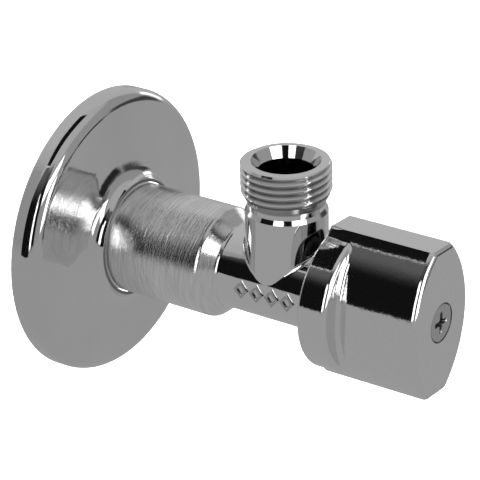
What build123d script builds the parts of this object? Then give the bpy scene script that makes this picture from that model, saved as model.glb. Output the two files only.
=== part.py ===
from build123d import *
import os
from math import cos, radians, sin, tan

# Angle stop valve: a wall-mounted shut-off valve with a G1/2 inlet, a G3/8 outlet that points up,
# a non-rising spindle headwork, a chromed handle and a loose escutcheon that slides on the barrel.
#
# The valve axis lies along -Y, away from the wall. The wall surface is the plane Y = 0, and the
# inlet thread reaches into the wall along +Y. The outlet points up, along +Z. "out" in a name is
# a distance from the wall plane along the valve axis, so it is -Y. All sizes are millimetres.

os.makedirs("parts", exist_ok=True)

# ---- driving dimensions ----

# inlet thread, G1/2 (ISO 228), and the barrel behind the escutcheon
inlet_thread_r = 20.955 / 2
inlet_thread_pitch = 1.814
inlet_length = 13.0
barrel_r = 10.5
barrel_end_out = 29.0

# small barrel, which carries the outlet and holds the headwork
neck_r = 7.9
neck_start_out = 31.9
neck_end_out = 60.0

# outlet thread, G3/8 (ISO 228), on an upright boss
outlet_out = 42.5
outlet_top = 23.9
outlet_thread_r = 16.662 / 2
outlet_thread_pitch = 1.337
outlet_thread_start = 15.7
outlet_relief_r = 7.15
boss_r = 7.6
boss_top = 14.3
tube_socket_r = 5.2
tube_socket_floor = 12.0
mouth_r = 6.35
mouth_half_angle = 30

# waterway
inlet_bore_r = 6.0
throat_r = 4.0
seat_out = 33.6
chamber_r = 5.9
headwork_seat_out = 46.9
headwork_socket_r = 6.4
outlet_passage_r = 4.2

# escutcheon: pressed sheet
escutcheon_r = 27.5
escutcheon_sheet = 0.6
lip_r = 11.3
rim_out = 5.1

# spindle and plunger: left-hand M6 x 1 thread, 3.5 turns from closed to open
spindle_thread_r = 3.0
spindle_pitch = 1.0
plunger_lift = 3.5
journal_r = 3.2
bearing_bore_r = 3.25
guide_hex = 8.6
piston_bore_r = 5.1
running_gap = 0.05

# handle
handle_start_out = 53.1
handle_face_out = 74.8
handle_ring_r = 13.55
handle_ring_width = 5.8
grip_half_width = 9.45
grip_half_height = 14.3
grip_side_arc_r = 19.3
handle_clock_angle = -4.0
hub_r = 6.0

whitworth_half_angle = 27.5
metric_half_angle = 30


# ---- shared construction ----

valve_axis = Axis((0, 0, 0), (0, -1, 0))
outlet_axis = Axis((0, -outlet_out, 0), (0, 0, 1))
clock = radians(handle_clock_angle)
handle_x_dir = (cos(clock), 0, sin(clock))


def station(out):
    """The plane across the valve axis at this distance from the wall, facing the handle."""
    return Plane(origin=(0, -out, 0), x_dir=(1, 0, 0), z_dir=(0, -1, 0))


def handle_station(out):
    """The same plane, turned with the handle."""
    return Plane(origin=(0, -out, 0), x_dir=handle_x_dir, z_dir=(0, -1, 0))


def turn(profile, mode=Mode.ADD):
    """Revolve a closed outline of (radius, out) points about the valve axis."""
    with BuildSketch(Plane.XY) as section:
        with BuildLine():
            Polyline(*[(radius, -out) for radius, out in profile], close=True)
        make_face()
    revolve(section.sketch, axis=valve_axis, mode=mode)


def turn_outlet(profile, mode=Mode.ADD):
    """Revolve a closed outline of (radius, height) points about the upright outlet axis."""
    with BuildSketch(station(outlet_out)) as section:
        with BuildLine():
            Polyline(*profile, close=True)
        make_face()
    revolve(section.sketch, axis=outlet_axis, mode=mode)


def cut_thread(start, direction, crest_r, pitch, turns, half_angle, lefthand=False):
    """Cut a helical V groove with a small flat root into the active rod, one turn at a time."""
    depth = 0.64 * pitch
    reach = 0.1
    root_r = crest_r - depth
    root_half_width = 0.1 * pitch
    crest_half_width = root_half_width + (depth + reach) * tan(radians(half_angle))
    with BuildLine() as path:
        Helix(pitch, pitch, root_r, center=start, direction=direction, lefthand=lefthand)
    outward = (path.line @ 0) - Vector(*start)
    with BuildSketch(Plane(origin=start, x_dir=outward, z_dir=Vector(*direction).cross(outward))) as profile:
        with BuildLine():
            Polyline(
                (root_r, -root_half_width),
                (crest_r + reach, -crest_half_width),
                (crest_r + reach, crest_half_width),
                (root_r, root_half_width),
                close=True,
            )
        make_face()
    with BuildPart(mode=Mode.PRIVATE) as one_turn:
        sweep(profile.sketch, path=path.line, is_frenet=True)
    for count in range(turns):
        add(one_turn.part.moved(Location(Vector(*direction) * pitch * count)), mode=Mode.SUBTRACT)


def o_ring(name, centre_out, centre_r, section_r):
    """A round seal ring about the valve axis, written as its own piece."""
    with BuildPart() as ring:
        with BuildSketch(Plane.XY):
            with Locations((centre_r, -centre_out)):
                Circle(section_r)
        revolve(axis=valve_axis)
    ring.part.label = name
    export_step(ring.part, f"parts/{name}.step")


# ---- valve body: one forging, with its casting mark ----

mark_height = 0.3
mark_count = 4
mark_spacing = 3.3
lozenge_half_width = 1.5
lozenge_half_height = 1.8
lozenge_line = 0.75

# a row of plain raised lozenges on the side of the small barrel
mark_plane = Plane(origin=(-neck_r + 1, -outlet_out, -0.1), x_dir=(0, -1, 0), z_dir=(-1, 0, 0))
with BuildPart() as casting_mark:
    with BuildSketch(mark_plane):
        with GridLocations(mark_spacing, 0, mark_count, 1):
            Polygon(
                (-lozenge_half_width, 0),
                (0, -lozenge_half_height),
                (lozenge_half_width, 0),
                (0, lozenge_half_height),
                align=None,
            )
            Polygon(
                (-lozenge_half_width + lozenge_line, 0),
                (0, -lozenge_half_height + lozenge_line),
                (lozenge_half_width - lozenge_line, 0),
                (0, lozenge_half_height - lozenge_line),
                align=None,
                mode=Mode.SUBTRACT,
            )
    extrude(amount=2)
    with BuildSketch(station(neck_start_out)):
        Circle(neck_r + mark_height)
    extrude(amount=neck_end_out - neck_start_out, mode=Mode.INTERSECT)

thread_relief_r = 9.1
end_chamfer = 1.3

with BuildPart() as valve_body:
    turn([
        (0, -inlet_length),
        (inlet_thread_r - end_chamfer, -inlet_length),
        (inlet_thread_r, -inlet_length + end_chamfer),
        (inlet_thread_r, -2.0),
        (thread_relief_r, -1.2),
        (thread_relief_r, 0.0),
        (barrel_r - 0.4, 0.0),
        (barrel_r, 0.4),
        (barrel_r, barrel_end_out),
        (neck_r, neck_start_out),
        (neck_r, neck_end_out - 0.4),
        (neck_r - 0.4, neck_end_out),
        (0, neck_end_out),
    ])
    forged_shoulders = [
        edge
        for edge in edges().filter_by(GeomType.CIRCLE)
        if barrel_end_out - 0.1 < -edge.center().Y < neck_start_out + 0.1
    ]
    fillet(forged_shoulders, radius=1.2)
    turn_outlet([
        (0, 0),
        (boss_r, 0),
        (boss_r, boss_top),
        (outlet_relief_r, boss_top + 0.8),
        (outlet_relief_r, 16.2),
        (outlet_thread_r, 18.4),
        (outlet_thread_r, outlet_top - 0.45),
        (outlet_thread_r - 0.45, outlet_top),
        (0, outlet_top),
    ])
    crotch = [
        edge
        for edge in edges()
        if edge.geom_type not in (GeomType.LINE, GeomType.CIRCLE)
    ]
    fillet(crotch, radius=0.9)
    add(casting_mark.part)
    turn(
        [
            (0, -inlet_length - 0.1),
            (inlet_bore_r, -inlet_length - 0.1),
            (inlet_bore_r, 28.0),
            (throat_r, 29.2),
            (throat_r, seat_out),
            (throat_r + 0.8, seat_out),
            (throat_r + 1.1, seat_out - 0.6),
            (chamber_r, seat_out - 0.6),
            (chamber_r, headwork_seat_out),
            (headwork_socket_r, headwork_seat_out),
            (headwork_socket_r, 58.6),
            (headwork_socket_r + 0.8, 58.6),
            (headwork_socket_r + 0.8, neck_end_out + 0.1),
            (0, neck_end_out + 0.1),
        ],
        mode=Mode.SUBTRACT,
    )
    mouth_depth = (mouth_r - tube_socket_r) / tan(radians(mouth_half_angle))
    turn_outlet(
        [
            (0, 0),
            (outlet_passage_r, 0),
            (outlet_passage_r, tube_socket_floor),
            (tube_socket_r, tube_socket_floor),
            (tube_socket_r, outlet_top - mouth_depth),
            (mouth_r, outlet_top),
            (mouth_r, outlet_top + 0.1),
            (0, outlet_top + 0.1),
        ],
        mode=Mode.SUBTRACT,
    )
    cut_thread(
        start=(0, -outlet_out, outlet_thread_start),
        direction=(0, 0, 1),
        crest_r=outlet_thread_r,
        pitch=outlet_thread_pitch,
        turns=7,
        half_angle=whitworth_half_angle,
    )
    cut_thread(
        start=(0, -0.5, 0),
        direction=(0, 1, 0),
        crest_r=inlet_thread_r,
        pitch=inlet_thread_pitch,
        turns=8,
        half_angle=whitworth_half_angle,
    )
valve_body.part.label = "valve_body"
export_step(valve_body.part, "parts/valve_body.step")


# ---- escutcheon: pressed cover that slides on the barrel ----

rim_roll_r = 2.9
face_slope = 4.5
flare_soft_r = 14.0
flare_break_slope = 22.0
flare_tight_r = 3.1
lip_slope = 80.0
lip_edge = 0.2
rim_start_r = escutcheon_r - rim_roll_r * (1 - sin(radians(face_slope)))
flare_soft_width = flare_soft_r * (sin(radians(flare_break_slope)) - sin(radians(face_slope)))
flare_tight_width = flare_tight_r * (sin(radians(lip_slope)) - sin(radians(flare_break_slope)))
face_root_r = lip_r + flare_tight_width + flare_soft_width
face_root_out = rim_out + (rim_start_r - face_root_r) * tan(radians(face_slope))
face_direction = (cos(radians(face_slope)), sin(radians(face_slope)))

with BuildPart() as escutcheon:
    with BuildSketch(Plane.XY):
        with BuildLine():
            face = Line((rim_start_r, -rim_out), (face_root_r, -face_root_out))
            soft = JernArc(face @ 1, face % 1, radius=flare_soft_r, arc_size=flare_break_slope - face_slope)
            JernArc(soft @ 1, soft % 1, radius=flare_tight_r, arc_size=lip_slope - flare_break_slope)
            rim_roll = JernArc(face @ 0, face_direction, radius=rim_roll_r, arc_size=90 - face_slope)
            Line(rim_roll @ 1, (escutcheon_r, 0))
            offset(amount=escutcheon_sheet, side=Side.RIGHT)
        make_face()
        fillet(vertices().sort_by(Axis.Y)[0], radius=lip_edge)
    revolve(axis=valve_axis)
escutcheon.part.label = "escutcheon"
export_step(escutcheon.part, "parts/escutcheon.step")


# ---- headwork body: brass insert screwed into the small barrel ----

insert_r = headwork_socket_r - 0.02
insert_neck_r = 5.7
insert_thread_out = 49.8
insert_pitch = 1.0
flange_out = neck_end_out + 0.05
flange_hex = 14.0
flange_width = 3.2
nose_r = 5.6
nose_out = 68.6
guide_start_out = 56.5
thrust_shoulder_out = 63.9

with BuildPart() as headwork_body:
    turn([
        (0, headwork_seat_out),
        (insert_r - 0.3, headwork_seat_out),
        (insert_r, headwork_seat_out + 0.3),
        (insert_r, 57.6),
        (insert_neck_r, 57.9),
        (insert_neck_r, flange_out),
        (nose_r, flange_out),
        (nose_r, nose_out - 0.4),
        (nose_r - 0.4, nose_out),
        (0, nose_out),
    ])
    with BuildSketch(station(flange_out)):
        RegularPolygon(flange_hex / 2, 6, major_radius=False)
        Circle(flange_hex / 2 + 0.85, mode=Mode.INTERSECT)
    extrude(amount=flange_width)
    turn(
        [
            (0, headwork_seat_out - 0.1),
            (piston_bore_r, headwork_seat_out - 0.1),
            (piston_bore_r, guide_start_out),
            (0, guide_start_out),
        ],
        mode=Mode.SUBTRACT,
    )
    with BuildSketch(station(guide_start_out)):
        RegularPolygon(guide_hex / 2, 6, major_radius=False)
    extrude(amount=thrust_shoulder_out - guide_start_out, mode=Mode.SUBTRACT)
    with BuildSketch(station(thrust_shoulder_out)):
        Circle(bearing_bore_r)
    extrude(amount=nose_out - thrust_shoulder_out, mode=Mode.SUBTRACT)
    cut_thread(
        start=(0, -insert_thread_out, 0),
        direction=(0, -1, 0),
        crest_r=insert_r,
        pitch=insert_pitch,
        turns=8,
        half_angle=metric_half_angle,
    )
headwork_body.part.label = "headwork_body"
export_step(headwork_body.part, "parts/headwork_body.step")

o_ring("headwork_o_ring", centre_out=59.32, centre_r=6.55, section_r=0.6)


# ---- spindle: turns in the headwork, doesn't rise ----

collar_start_out = 62.4
collar_width = 1.0
spindle_collar_r = 4.2
spindle_tip_out = 53.6
clip_groove_out = 68.85
clip_groove_width = 0.6
clip_groove_r = 2.7
spline_start_out = 69.6
spline_end_out = 72.4
spline_root_r = 2.9
spline_teeth = 18
seal_groove_r = 2.37
seal_groove_width = 1.05
seal_groove_outs = (64.3, 65.7)
screw_hole_r = 1.97
screw_hole_floor_out = 67.0


def spline_outline(clearance=0.0):
    """The finely toothed cross-section of the spindle tip, in the active sketch."""
    Circle(spline_root_r + clearance)
    with PolarLocations(spline_root_r, spline_teeth):
        RegularPolygon(journal_r - spline_root_r + clearance, 4)


with BuildPart() as spindle:
    turn([
        (0, spindle_tip_out),
        (spindle_thread_r - 0.5, spindle_tip_out),
        (spindle_thread_r, spindle_tip_out + 0.5),
        (spindle_thread_r, collar_start_out),
        (spindle_collar_r, collar_start_out),
        (spindle_collar_r, collar_start_out + collar_width),
        (journal_r, collar_start_out + collar_width),
        (journal_r, clip_groove_out),
        (clip_groove_r, clip_groove_out),
        (clip_groove_r, clip_groove_out + clip_groove_width),
        (spline_root_r, clip_groove_out + clip_groove_width),
        (spline_root_r, spline_start_out),
        (0, spline_start_out),
    ])
    with BuildSketch(handle_station(spline_start_out)):
        spline_outline()
    extrude(amount=spline_end_out - spline_start_out)
    for groove_out in seal_groove_outs:
        turn(
            [
                (seal_groove_r, groove_out),
                (journal_r + 0.1, groove_out),
                (journal_r + 0.1, groove_out + seal_groove_width),
                (seal_groove_r, groove_out + seal_groove_width),
            ],
            mode=Mode.SUBTRACT,
        )
    with BuildSketch(station(screw_hole_floor_out)):
        Circle(screw_hole_r)
    extrude(amount=spline_end_out - screw_hole_floor_out, mode=Mode.SUBTRACT)
    cut_thread(
        start=(0, -spindle_tip_out + 0.8, 0),
        direction=(0, -1, 0),
        crest_r=spindle_thread_r,
        pitch=spindle_pitch,
        turns=8,
        half_angle=metric_half_angle,
        lefthand=True,
    )
spindle.part.label = "spindle"
export_step(spindle.part, "parts/spindle.step")

for seal_name, groove_out in zip(("spindle_o_ring_inner", "spindle_o_ring_outer"), seal_groove_outs):
    o_ring(seal_name, groove_out + seal_groove_width / 2, centre_r=2.81, section_r=0.43)

with BuildPart() as thrust_washer:
    turn([
        (journal_r + running_gap, collar_start_out + collar_width + 0.02),
        (spindle_collar_r, collar_start_out + collar_width + 0.02),
        (spindle_collar_r, thrust_shoulder_out - 0.03),
        (journal_r + running_gap, thrust_shoulder_out - 0.03),
    ])
thrust_washer.part.label = "thrust_washer"
export_step(thrust_washer.part, "parts/thrust_washer.step")

clip_r = 4.6
clip_sheet = 0.5
clip_opening = 3.6

with BuildPart() as retaining_clip:
    with BuildSketch(station(clip_groove_out + 0.05)):
        Circle(clip_r)
        Circle(clip_groove_r + 0.02, mode=Mode.SUBTRACT)
        with Locations((0, -clip_r)):
            Rectangle(clip_opening, 2 * clip_r, mode=Mode.SUBTRACT)
        with PolarLocations(0.5 * (clip_r + journal_r), 2, start_angle=-130, angular_range=80):
            Circle(0.42, mode=Mode.SUBTRACT)
    extrude(amount=clip_sheet)
retaining_clip.part.label = "retaining_clip"
export_step(retaining_clip.part, "parts/retaining_clip.step")


# ---- plunger: slides in the headwork, driven by the spindle thread ----

washer_r = 5.0
washer_out = seat_out + 0.05
washer_end_out = 35.8
cup_r = 5.45
stem_r = 2.7
piston_out = 47.2
piston_end_out = 52.4
piston_groove_out = 47.9
piston_groove_width = 1.5
tail_end_out = 58.6
stem_screw_r = 1.5

with BuildPart() as plunger:
    turn([
        (0, washer_end_out),
        (washer_r + 0.03, washer_end_out),
        (washer_r + 0.03, washer_end_out - 1.1),
        (cup_r, washer_end_out - 1.1),
        (cup_r, washer_end_out + 1.2),
        (cup_r - 0.4, washer_end_out + 1.6),
        (stem_r, washer_end_out + 1.6),
        (stem_r, piston_out),
        (piston_bore_r - 0.4, piston_out),
        (piston_bore_r - running_gap, piston_out + 0.35),
        (piston_bore_r - running_gap, piston_groove_out),
        (3.84, piston_groove_out),
        (3.84, piston_groove_out + piston_groove_width),
        (piston_bore_r - running_gap, piston_groove_out + piston_groove_width),
        (piston_bore_r - running_gap, piston_end_out),
        (0, piston_end_out),
    ])
    with BuildSketch(station(piston_end_out)):
        RegularPolygon(guide_hex / 2 - running_gap, 6, major_radius=False)
    extrude(amount=tail_end_out - piston_end_out)
    with BuildSketch(station(49.9)):
        Circle(spindle_thread_r + 0.06)
    extrude(amount=tail_end_out - 49.9, mode=Mode.SUBTRACT)
    with BuildSketch(station(washer_end_out)):
        Circle(stem_screw_r + 0.02)
    extrude(amount=6.0, mode=Mode.SUBTRACT)
plunger.part.label = "plunger"
export_step(plunger.part, "parts/plunger.step")

o_ring("plunger_o_ring", piston_groove_out + piston_groove_width / 2, centre_r=4.46, section_r=0.6)

with BuildPart() as seat_washer:
    turn([
        (stem_screw_r + 0.2, washer_out),
        (washer_r, washer_out),
        (washer_r, washer_end_out),
        (stem_screw_r + 0.2, washer_end_out),
    ])
seat_washer.part.label = "seat_washer"
export_step(seat_washer.part, "parts/seat_washer.step")

plate_r = 3.2
plate_sheet = 0.5

with BuildPart() as seat_washer_plate:
    turn([
        (stem_screw_r + 0.1, washer_out - plate_sheet),
        (plate_r, washer_out - plate_sheet),
        (plate_r, washer_out),
        (stem_screw_r + 0.1, washer_out),
    ])
seat_washer_plate.part.label = "seat_washer_plate"
export_step(seat_washer_plate.part, "parts/seat_washer_plate.step")

seat_screw_head_out = washer_out - plate_sheet
seat_screw_head_r = 2.7

with BuildPart() as seat_washer_screw:
    turn([
        (0, seat_screw_head_out - 1.5),
        (seat_screw_head_r - 0.4, seat_screw_head_out - 1.5),
        (seat_screw_head_r, seat_screw_head_out - 1.1),
        (seat_screw_head_r, seat_screw_head_out),
        (stem_screw_r, seat_screw_head_out),
        (stem_screw_r, washer_end_out + 5.0),
        (0, washer_end_out + 5.5),
    ])
    with BuildSketch(station(seat_screw_head_out - 1.5)):
        Rectangle(0.8, 2 * seat_screw_head_r)
    extrude(amount=0.8, mode=Mode.SUBTRACT)
seat_washer_screw.part.label = "seat_washer_screw"
export_step(seat_washer_screw.part, "parts/seat_washer_screw.step")


# ---- handle: die-cast, with a round skirt and a two-sided grip ----

skirt_rear_edge = 0.5
skirt_front_edge = 1.1
grip_root_r = 0.9
grip_face_edge = 1.3
grip_corner = 1.3
skirt_cavity_r = 10.3
grip_cavity_r = 8.5
skirt_cavity_out = 57.6
grip_cavity_out = 71.5
hub_start_out = 69.65
socket_floor_out = spline_end_out + 0.1
handle_screw_r = 1.95
handle_screw_clearance_r = 2.15
handle_screw_head_r = 3.6
handle_screw_face_out = handle_face_out - 0.1
handle_screw_end_out = 67.3
handle_screw_gap = 0.15
handle_screw_seat_gap = 0.05
screw_cone_out = handle_screw_face_out - 0.25
knob_cone_out = screw_cone_out - handle_screw_seat_gap
side_arc_offset = grip_side_arc_r - grip_half_width
front_edge_out = handle_start_out + handle_ring_width



def round_edges(radius, out):
    """The active part's circular edges of this radius, at this distance from the wall."""
    return [
        edge
        for edge in edges().filter_by(GeomType.CIRCLE)
        if abs(edge.radius - radius) < 0.01 and abs(edge.center().Y + out) < 0.1
    ]


with BuildPart() as knob:
    with BuildSketch(handle_station(handle_start_out)):
        with Locations((side_arc_offset, 0)):
            Circle(grip_side_arc_r)
        with Locations((-side_arc_offset, 0)):
            Circle(grip_side_arc_r, mode=Mode.INTERSECT)
        Rectangle(2 * grip_half_width, 2 * grip_half_height, mode=Mode.INTERSECT)
        fillet(vertices(), radius=grip_corner)
    extrude(amount=handle_face_out - handle_start_out)
    fillet(faces().sort_by(Axis.Y).first.edges(), radius=grip_face_edge)
    turn([
        (0, handle_start_out),
        (handle_ring_r, handle_start_out),
        (handle_ring_r, front_edge_out),
        (0, front_edge_out),
    ])
    fillet(round_edges(handle_ring_r, front_edge_out), radius=skirt_front_edge)
    fillet(round_edges(grip_side_arc_r, front_edge_out), radius=grip_root_r)
    fillet(round_edges(handle_ring_r, handle_start_out), radius=skirt_rear_edge)
    turn(
        [
            (0, handle_start_out - 1),
            (skirt_cavity_r, handle_start_out - 1),
            (skirt_cavity_r, skirt_cavity_out),
            (grip_cavity_r, skirt_cavity_out),
            (grip_cavity_r, grip_cavity_out),
            (hub_r, grip_cavity_out),
            (hub_r, hub_start_out),
            (0, hub_start_out),
        ],
        mode=Mode.SUBTRACT,
    )
    with BuildSketch(handle_station(hub_start_out)):
        spline_outline(clearance=0.02)
    extrude(amount=socket_floor_out - hub_start_out, mode=Mode.SUBTRACT)
    turn(
        [
            (0, socket_floor_out - 0.1),
            (handle_screw_clearance_r, socket_floor_out - 0.1),
            (handle_screw_clearance_r, knob_cone_out - handle_screw_head_r + handle_screw_clearance_r),
            (handle_screw_head_r + handle_screw_gap, knob_cone_out + handle_screw_gap),
            (handle_screw_head_r + handle_screw_gap, handle_face_out + 0.1),
            (0, handle_face_out + 0.1),
        ],
        mode=Mode.SUBTRACT,
    )
knob.part.label = "knob"
export_step(knob.part, "parts/knob.step")


# ---- handle screw: countersunk M4 with a cross recess ----

recess_reach = 2.1
recess_width = 0.95
recess_depth = 1.5
recess_taper = 14

with BuildPart() as knob_screw:
    turn([
        (0, handle_screw_face_out),
        (handle_screw_head_r - 0.1, handle_screw_face_out),
        (handle_screw_head_r, handle_screw_face_out - 0.12),
        (handle_screw_head_r, screw_cone_out),
        (handle_screw_r, screw_cone_out - handle_screw_head_r + handle_screw_r),
        (handle_screw_r, handle_screw_end_out + 0.4),
        (handle_screw_r - 0.4, handle_screw_end_out),
        (0, handle_screw_end_out),
    ])
    with BuildSketch(handle_station(handle_screw_face_out)):
        Rectangle(2 * recess_reach, recess_width)
        Rectangle(recess_width, 2 * recess_reach)
        Circle(0.85)
        fillet(vertices().group_by(SortBy.DISTANCE)[-1], radius=0.2)
    extrude(amount=-recess_depth, taper=recess_taper, mode=Mode.SUBTRACT)
knob_screw.part.label = "knob_screw"
export_step(knob_screw.part, "parts/knob_screw.step")
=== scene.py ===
import bpy
from math import cos, radians, sin
from mathutils import Matrix, Vector


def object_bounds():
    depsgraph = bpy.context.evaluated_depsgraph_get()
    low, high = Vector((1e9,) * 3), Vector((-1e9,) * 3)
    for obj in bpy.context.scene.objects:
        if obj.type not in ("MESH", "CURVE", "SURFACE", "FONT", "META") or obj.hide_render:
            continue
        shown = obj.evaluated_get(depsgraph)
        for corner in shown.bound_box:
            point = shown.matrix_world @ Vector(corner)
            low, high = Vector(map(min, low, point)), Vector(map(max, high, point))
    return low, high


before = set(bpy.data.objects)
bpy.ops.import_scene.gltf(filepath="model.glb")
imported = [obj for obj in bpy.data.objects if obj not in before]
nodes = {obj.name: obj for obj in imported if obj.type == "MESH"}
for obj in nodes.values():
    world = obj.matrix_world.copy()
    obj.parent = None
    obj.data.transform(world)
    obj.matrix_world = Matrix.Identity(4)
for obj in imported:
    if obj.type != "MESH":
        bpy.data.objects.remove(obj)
cad_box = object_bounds()
scene = bpy.context.scene

# ---- camera, fitted to the photograph's outlines ----

camera_azimuth = radians(-55.288)
camera_elevation = radians(26.104)
camera_roll = radians(-1.336)
camera_place = Vector((-0.329822, -0.260594, 0.201854))
camera_lens = 182.2

back = Vector((
    sin(camera_azimuth) * cos(camera_elevation),
    -cos(camera_azimuth) * cos(camera_elevation),
    sin(camera_elevation),
))
right = Vector((cos(camera_azimuth), sin(camera_azimuth), 0))
up = back.cross(right)
rolled_right = cos(camera_roll) * right + sin(camera_roll) * up
rolled_up = cos(camera_roll) * up - sin(camera_roll) * right
camera_turn = Matrix((rolled_right, rolled_up, back)).transposed().to_4x4()

camera_data = bpy.data.cameras.new("camera")
camera = bpy.data.objects.new("camera", camera_data)
scene.collection.objects.link(camera)
camera_data.sensor_width = 36
camera_data.lens = camera_lens
camera_data.clip_start = 0.01
camera.matrix_world = Matrix.Translation(camera_place) @ camera_turn
scene.camera = camera
scene.view_settings.view_transform = "Standard"

# ---- node helpers ----


def link(tree, value, socket):
    """Feed a socket from another socket, or set it to a plain value."""
    if isinstance(value, bpy.types.NodeSocket):
        tree.links.new(value, socket)
    else:
        socket.default_value = value


def math_node(tree, operation, *values):
    node = tree.nodes.new("ShaderNodeMath")
    node.operation = operation
    for value, socket in zip(values, node.inputs):
        link(tree, value, socket)
    return node.outputs[0]


def product(tree, *values):
    result = values[0]
    for value in values[1:]:
        result = math_node(tree, "MULTIPLY", result, value)
    return result


def mix(tree, mask, low, high):
    """low where the mask is 0, high where it is 1."""
    rise = math_node(tree, "SUBTRACT", high, low)
    return math_node(tree, "ADD", low, product(tree, mask, rise))


def soft_edge(tree, value, edge, before, after):
    """before below the first number of the edge, after above its second, smooth between."""
    node = tree.nodes.new("ShaderNodeMapRange")
    node.interpolation_type = "SMOOTHSTEP"
    link(tree, value, node.inputs["Value"])
    node.inputs["From Min"].default_value = edge[0]
    node.inputs["From Max"].default_value = edge[1]
    node.inputs["To Min"].default_value = before
    node.inputs["To Max"].default_value = after
    return node.outputs["Result"]


def above(tree, value, edge):
    return soft_edge(tree, value, edge, 0, 1)


def below(tree, value, edge):
    return soft_edge(tree, value, edge, 1, 0)


def between(tree, value, low, high, soft):
    """1 from low to high, falling to 0 outside."""
    return product(
        tree, above(tree, value, (low - soft, low + soft)), below(tree, value, (high - soft, high + soft))
    )


def noise(tree, vector, scale, detail=3.0, roughness=0.5):
    node = tree.nodes.new("ShaderNodeTexNoise")
    link(tree, vector, node.inputs["Vector"])
    node.inputs["Scale"].default_value = scale
    node.inputs["Detail"].default_value = detail
    node.inputs["Roughness"].default_value = roughness
    return node.outputs["Fac"]


def combine(tree, x, y, z):
    node = tree.nodes.new("ShaderNodeCombineXYZ")
    for value, socket in zip((x, y, z), node.inputs):
        link(tree, value, socket)
    return node.outputs[0]


def grey(tree, value):
    return combine(tree, value, value, value)


def separate(tree, vector):
    node = tree.nodes.new("ShaderNodeSeparateXYZ")
    tree.links.new(vector, node.inputs[0])
    return node.outputs


def scaled(tree, point, x, y, z):
    """The point with each axis stretched by its own factor."""
    return combine(tree, *[product(tree, part, factor) for part, factor in zip(point, (x, y, z))])


def distance_from_axis(tree, across, along):
    """Distance of a point from an axis, from its two offsets."""
    squares = math_node(tree, "ADD", product(tree, across, across), product(tree, along, along))
    return math_node(tree, "SQRT", squares)


def bump(tree, height, distance):
    node = tree.nodes.new("ShaderNodeBump")
    link(tree, height, node.inputs["Height"])
    node.inputs["Distance"].default_value = distance
    return node.outputs[0]


def object_point(tree):
    return tree.nodes.new("ShaderNodeTexCoord").outputs["Object"]


def new_material(name, metallic, colour, roughness):
    material = bpy.data.materials.new(name)
    material.use_nodes = True
    shader = material.node_tree.nodes["Principled BSDF"]
    shader.inputs["Metallic"].default_value = metallic
    shader.inputs["Base Color"].default_value = (*colour, 1)
    shader.inputs["Roughness"].default_value = roughness
    return material, material.node_tree, shader


# ---- studio: the walls and softboxes that the chrome reflects, on a white backdrop ----

table_grey = 0.37
ceiling_grey = 0.46
ceiling_edge = (36, 54)
horizon_waver = 1.6

# In degrees. Each panel: longitude range (0 is +Y, 90 is +X), latitude range, edge softness, brightness.
panels = {
    "walls": ((-400, 400), (-3, 46), 3, 0.33),
    "far_wall_right": ((-12, 95), (-3, 60), 6, 0.5),
    "dark_camera_side": ((-137, -62), (-2, 56), 2.0, 0.006),
    "dark_side_top": ((-137, -62), (44, 58), 6, 0.075),
    "front_softbox": ((-193, -140), (24, 38), 2.5, 3.0),
    "camera_softbox": ((-119, -91), (-1, 31), 1.5, 2.2),
    "camera_softbox_top": ((-113, -82), (29, 39), 1.5, 2.2),
    "front_dark_edge": ((138, 186), (-5, 3), 1.5, 0.02),
    "dark_far_side": ((104, 136), (-2, 12), 3.0, 0.06),
    "far_softbox": ((84, 98), (0, 16), 2.0, 1.4),
}

world = bpy.data.worlds.new("studio")
scene.world = world
world.use_nodes = True
sky = world.node_tree
sky.nodes.clear()
direction = sky.nodes.new("ShaderNodeTexCoord").outputs["Generated"]
direction_parts = separate(sky, direction)
longitude = math_node(sky, "DEGREES", math_node(sky, "ARCTAN2", direction_parts[0], direction_parts[1]))
level_latitude = math_node(sky, "DEGREES", math_node(sky, "ARCSINE", direction_parts[2]))
# The panels' level edges waver a little, as they do in plating that isn't quite flat.
waver = math_node(sky, "SUBTRACT", noise(sky, direction, scale=40, detail=4), 0.5)
latitude = math_node(sky, "ADD", level_latitude, product(sky, waver, 2 * horizon_waver))
brightness = mix(sky, above(sky, latitude, ceiling_edge), table_grey, ceiling_grey)
for longitude_range, latitude_range, soft, level in panels.values():
    inside = product(
        sky,
        between(sky, longitude, *longitude_range, soft),
        between(sky, latitude, *latitude_range, soft),
    )
    brightness = mix(sky, inside, brightness, level)

# The camera sees a white backdrop; everything else sees the panels.
reflected = sky.nodes.new("ShaderNodeBackground")
link(sky, grey(sky, brightness), reflected.inputs["Color"])
backdrop = sky.nodes.new("ShaderNodeBackground")
backdrop.inputs["Color"].default_value = (1, 1, 1, 1)
sky_mix = sky.nodes.new("ShaderNodeMixShader")
sky.links.new(sky.nodes.new("ShaderNodeLightPath").outputs["Is Camera Ray"], sky_mix.inputs[0])
sky.links.new(reflected.outputs[0], sky_mix.inputs[1])
sky.links.new(backdrop.outputs[0], sky_mix.inputs[2])
sky_out = sky.nodes.new("ShaderNodeOutputWorld")
sky.links.new(sky_mix.outputs[0], sky_out.inputs["Surface"])

# ---- studio: floor, overhead light and the cards near the valve ----

floor_drop = 0.25
floor_z = cad_box[0][2] - floor_drop
floor_size = 6.0
floor_grey = 0.9
overhead_height = 3
overhead_size = 5
overhead_power = 330


def stage_panel(name, corners, material):
    """One flat four-cornered sheet that belongs to the studio, not to the valve."""
    mesh = bpy.data.meshes.new(name)
    mesh.from_pydata(corners, [], [(0, 1, 2, 3)])
    mesh.materials.append(material)
    panel = bpy.data.objects.new(name, mesh)
    scene.collection.objects.link(panel)
    return panel


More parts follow.
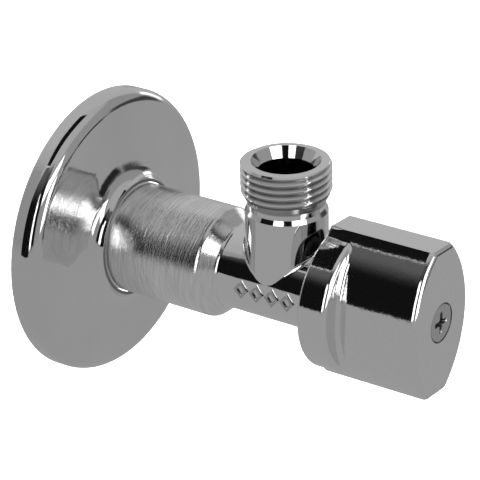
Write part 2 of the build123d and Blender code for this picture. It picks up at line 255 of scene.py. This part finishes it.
floor_paint, _, floor_shader = new_material("floor_paint", 0, (floor_grey,) * 3, roughness=0.9)
floor_shader.inputs["Specular IOR Level"].default_value = 0.1
floor_corners = [
    (-floor_size, -floor_size, floor_z),
    (floor_size, -floor_size, floor_z),
    (floor_size, floor_size, floor_z),
    (-floor_size, floor_size, floor_z),
]
floor = stage_panel("floor", floor_corners, floor_paint)
floor.visible_glossy = False

overhead_data = bpy.data.lights.new("overhead", "AREA")
overhead_data.shape = "DISK"
overhead_data.size = overhead_size
overhead_data.energy = overhead_power
overhead = bpy.data.objects.new("overhead", overhead_data)
scene.collection.objects.link(overhead)
overhead.location = (Vector(cad_box[0]) + Vector(cad_box[1])) / 2 + Vector((0, 0, overhead_height))
overhead.visible_glossy = False


def studio_card(name, low, high, level, top_level=None, turn=(0, 1)):
    """A flat card or lamp near the valve that only reflections see. One of its three sizes is zero.

    Its brightness can rise from level to top_level between the two heights in turn."""
    x0, y0, z0 = low
    x1, y1, z1 = high
    if y0 == y1:
        corners = [(x0, y0, z0), (x1, y0, z0), (x1, y0, z1), (x0, y0, z1)]
    else:
        corners = [(x0, y0, z0), (x0, y1, z0), (x1, y1, z1), (x1, y0, z1)]
    paint, tree, shader = new_material(name + "_paint", 0, (0, 0, 0), roughness=0.5)
    shader.inputs["Specular IOR Level"].default_value = 0
    shader.inputs["Emission Color"].default_value = (1, 1, 1, 1)
    shader.inputs["Emission Strength"].default_value = level
    if top_level is not None:
        height = separate(tree, object_point(tree))[2]
        strength = mix(tree, above(tree, height, turn), level, top_level)
        link(tree, strength, shader.inputs["Emission Strength"])
    panel = stage_panel(name, corners, paint)
    panel.visible_camera = False
    panel.visible_shadow = False
    panel.visible_diffuse = False


# The black cards are near enough that the handle mirrors them and the barrel doesn't.
black = 0.006
dim = 0.11
dimming_z = (0.07, 0.15)
side_x = -0.115
side_low_z = -0.004
side_near_y = -0.035
side_far_y = 0.06
top_z = 0.2
top_near_y = -0.01
top_far_y = 0.075
top_right_x = 0.06
strip_x = side_x + 0.003
strip_brightness = 1.0
front_y = -0.125
front_brightness = 2.6
studio_card(
    "side_card", (side_x, side_near_y, side_low_z), (side_x, side_far_y, top_z), black, dim, dimming_z
)
studio_card("strip_lamp", (side_x, top_near_y, top_z), (strip_x, top_far_y, top_z), strip_brightness)
studio_card("top_card", (strip_x, top_near_y, top_z), (top_right_x, top_far_y, top_z), black)
studio_card("front_lamp", (-0.045, front_y, -0.003), (-0.013, front_y, 0.056), front_brightness)

# ---- places on the valve ----

# In metres. "out" is the distance from the wall, and the two numbers of an edge are its soft width.
barrel_end_out = (0.0287, 0.0294)
barrel_skin_r = (0.0088, 0.0093)
cone_start_out = (0.0282, 0.0292)
cone_end_out = (0.0315, 0.0325)
outlet_out = 0.0425
thread_bottom_z = 0.0160
thread_top_z = 0.0233
thread_root_low_r = 0.0069
thread_root_high_r = 0.0079
thread_soft = 0.0002
mark_skin_r = (0.00794, 0.00808)
mark_side_x = (-0.0070, -0.0066)
mark_start_out = (0.0338, 0.0342)
mark_top_z = (0.0012, 0.0014)
cover_lip_out = (0.00878, 0.0089)
hollow_r = (0.0104, 0.0106)
hollow_end_out = (0.0576, 0.0578)
screw_rim_r = (0.0034, 0.00352)
recess_out = (0.0744, 0.07462)

# ---- materials ----

chrome_grey = 0.82
chrome = (chrome_grey, chrome_grey, chrome_grey)


def valve_place(tree):
    """Place on the valve: as a vector, as its parts, out from the wall, and from the valve axis."""
    place = object_point(tree)
    point = separate(tree, place)
    out = product(tree, point[1], -1)
    return place, point, out, distance_from_axis(tree, point[0], point[2])


def brushed(tree, point, slant, density, stretch, detail):
    """Scratches that run round the valve axis, slightly slanted."""
    along = math_node(tree, "ADD", point[1], product(tree, point[2], slant))
    streak = scaled(tree, (point[0], along, point[2]), stretch, density, stretch)
    return noise(tree, streak, scale=1.0, detail=detail, roughness=0.68)


def body_finish():
    """Turned and brushed barrel, polished elsewhere, duller on the raised mark; the thread roots are
    rougher and darkened with painted shade.
    """
    scratched_roughness = (0.03, 0.1)
    scratched_grey = (0.72, 0.92)
    polished_roughness = 0.05
    dull_roughness = 0.2
    mark_grey = 0.55
    root_shade_grey = 0.42
    cone_brushing = 0.6
    material, tree, shader = new_material("body_chrome", 1, chrome, polished_roughness)
    place, point, out, axis_distance = valve_place(tree)
    outlet_distance = distance_from_axis(tree, point[0], math_node(tree, "ADD", point[1], outlet_out))

    barrel = product(tree, below(tree, out, barrel_end_out), above(tree, axis_distance, barrel_skin_r))
    cone = product(tree, above(tree, out, cone_start_out), below(tree, out, cone_end_out))
    thread = between(tree, point[2], thread_bottom_z, thread_top_z, thread_soft)
    root_ring = between(tree, outlet_distance, thread_root_low_r, thread_root_high_r, thread_soft)
    root = product(tree, thread, root_ring)
    mark = product(
        tree,
        above(tree, axis_distance, mark_skin_r),
        below(tree, point[0], mark_side_x),
        above(tree, out, mark_start_out),
        below(tree, point[2], mark_top_z),
    )

    fine = brushed(tree, point, slant=0.12, density=2400, stretch=110, detail=5)
    crossed = brushed(tree, point, slant=-0.12, density=1700, stretch=150, detail=4)
    scratches = mix(tree, 0.4, fine, crossed)
    streaks = above(tree, scratches, (0.36, 0.64))
    casting_wave = noise(tree, place, scale=260, detail=2)
    brushed_area = math_node(tree, "MAXIMUM", barrel, product(tree, cone, cone_brushing))

    scratch_height = product(tree, brushed_area, scratches)
    height = math_node(tree, "ADD", scratch_height, product(tree, casting_wave, 0.25))
    link(tree, bump(tree, height, distance=0.0001), shader.inputs["Normal"])
    dull = math_node(tree, "MAXIMUM", mark, root)
    smooth_roughness = mix(tree, dull, polished_roughness, dull_roughness)
    roughness = mix(tree, barrel, smooth_roughness, mix(tree, scratches, *scratched_roughness))
    link(tree, roughness, shader.inputs["Roughness"])
    plating = mix(tree, brushed_area, chrome_grey, mix(tree, streaks, *scratched_grey))
    plating = mix(tree, mark, plating, mark_grey)
    # Painted shade: the thread roots are darkened.
    plating = mix(tree, root, plating, root_shade_grey)
    link(tree, grey(tree, plating), shader.inputs["Base Color"])
    return material


def handle_finish():
    """Polished plating with a fine casting grain; the hollow inside the skirt is dull unplated casting,
    darkened further with painted shade.
    """
    plated_roughness = (0.04, 0.09)
    plated_grey = (0.78, 0.85)
    unplated_roughness = 0.5
    unplated_shade_grey = 0.22
    material, tree, shader = new_material("handle_chrome", 1, chrome, plated_roughness[0])
    place, _, out, axis_distance = valve_place(tree)
    grain = noise(tree, place, scale=1500, roughness=0.6)
    swell = noise(tree, place, scale=160, detail=2)
    unplated = product(tree, below(tree, axis_distance, hollow_r), below(tree, out, hollow_end_out))
    height = math_node(tree, "ADD", product(tree, grain, 0.35), swell)
    link(tree, bump(tree, height, distance=0.00003), shader.inputs["Normal"])
    roughness = mix(tree, unplated, mix(tree, grain, *plated_roughness), unplated_roughness)
    link(tree, roughness, shader.inputs["Roughness"])
    # Partly dull unplated casting, partly painted shade: the hollow is darkened.
    plating = mix(tree, unplated, mix(tree, grain, *plated_grey), unplated_shade_grey)
    link(tree, grey(tree, plating), shader.inputs["Base Color"])
    return material


def cover_finish():
    """Plating over pressed sheet: slightly uneven, with a rougher cut edge at the lip that is darkened with
    painted shade where the cover meets the barrel.
    """
    plated_roughness = (0.03, 0.07)
    plated_grey = (0.7, 0.82)
    cut_roughness = 0.45
    lip_shade_grey = 0.3
    material, tree, shader = new_material("cover_chrome", 1, chrome, plated_roughness[0])
    place, _, out, _ = valve_place(tree)
    press_wave = noise(tree, place, scale=130, detail=2)
    cloud = noise(tree, place, scale=60)
    grain = noise(tree, place, scale=900)
    cut_edge = above(tree, out, cover_lip_out)
    height = math_node(tree, "ADD", press_wave, product(tree, grain, 0.08))
    link(tree, bump(tree, height, distance=0.00006), shader.inputs["Normal"])
    roughness = mix(tree, cut_edge, mix(tree, cloud, *plated_roughness), cut_roughness)
    link(tree, roughness, shader.inputs["Roughness"])
    # Painted shade: the cut edge of the lip, next to the barrel, is darkened.
    plating = mix(tree, cut_edge, mix(tree, cloud, *plated_grey), lip_shade_grey)
    link(tree, grey(tree, plating), shader.inputs["Base Color"])
    return material


def screw_finish():
    """Plated steel, mottled; the recess and the rim are dull and darkened with painted shade."""
    mottled_roughness = (0.12, 0.3)
    mottled_grey = (0.45, 0.68)
    dull_roughness = 0.5
    recess_and_rim_shade_grey = 0.14
    material, tree, shader = new_material("screw_steel", 1, (mottled_grey[1],) * 3, mottled_roughness[1])
    place, _, out, axis_distance = valve_place(tree)
    mottle = noise(tree, place, scale=1800, detail=4)
    dull = math_node(tree, "MAXIMUM", below(tree, out, recess_out), above(tree, axis_distance, screw_rim_r))
    link(tree, bump(tree, mottle, distance=0.00003), shader.inputs["Normal"])
    roughness = mix(tree, dull, mix(tree, mottle, *mottled_roughness), dull_roughness)
    link(tree, roughness, shader.inputs["Roughness"])
    # Painted shade: the recess and the rim are darkened.
    plating = mix(tree, dull, mix(tree, mottle, *mottled_grey), recess_and_rim_shade_grey)
    link(tree, grey(tree, plating), shader.inputs["Base Color"])
    return material


def tinted(tree, pattern, colour, darkest, lightest):
    """The colour, varied by the pattern between two factors."""
    return combine(
        tree, *[mix(tree, pattern, darkest * part, min(lightest * part, 1)) for part in colour]
    )


def turned_metal(name, colour, roughness):
    """Machined metal with fine rings across the valve axis."""
    material, tree, shader = new_material(name, 1, colour, roughness)
    point = separate(tree, object_point(tree))
    rings = noise(tree, scaled(tree, point, 200, 5000, 200), scale=1.0)
    link(tree, bump(tree, rings, distance=0.00002), shader.inputs["Normal"])
    link(tree, mix(tree, rings, roughness - 0.08, roughness + 0.1), shader.inputs["Roughness"])
    link(tree, tinted(tree, rings, colour, 0.85, 1.1), shader.inputs["Base Color"])
    return material


def moulded(name, colour, roughness):
    """Rubber or plastic with a slightly mottled skin."""
    material, tree, shader = new_material(name, 0, colour, roughness)
    skin = noise(tree, object_point(tree), scale=3000)
    link(tree, bump(tree, skin, distance=0.00002), shader.inputs["Normal"])
    link(tree, mix(tree, skin, roughness - 0.1, roughness + 0.1), shader.inputs["Roughness"])
    link(tree, tinted(tree, skin, colour, 0.8, 1.15), shader.inputs["Base Color"])
    return material


brass = turned_metal("brass", (0.72, 0.52, 0.24), 0.24)
rubber = moulded("rubber", (0.025, 0.025, 0.025), 0.6)

finishes = {
    "valve_body": body_finish(),
    "escutcheon": cover_finish(),
    "knob": handle_finish(),
    "knob_screw": screw_finish(),
    "headwork_o_ring": rubber,
    "spindle_o_ring_inner": rubber,
    "spindle_o_ring_outer": rubber,
    "plunger_o_ring": rubber,
    "seat_washer": rubber,
    "thrust_washer": moulded("acetal", (0.84, 0.82, 0.76), 0.45),
    "retaining_clip": turned_metal("spring_steel", (0.4, 0.4, 0.42), 0.3),
}
for name, node in nodes.items():
    node.material_slots[0].material = finishes.get(name, brass)
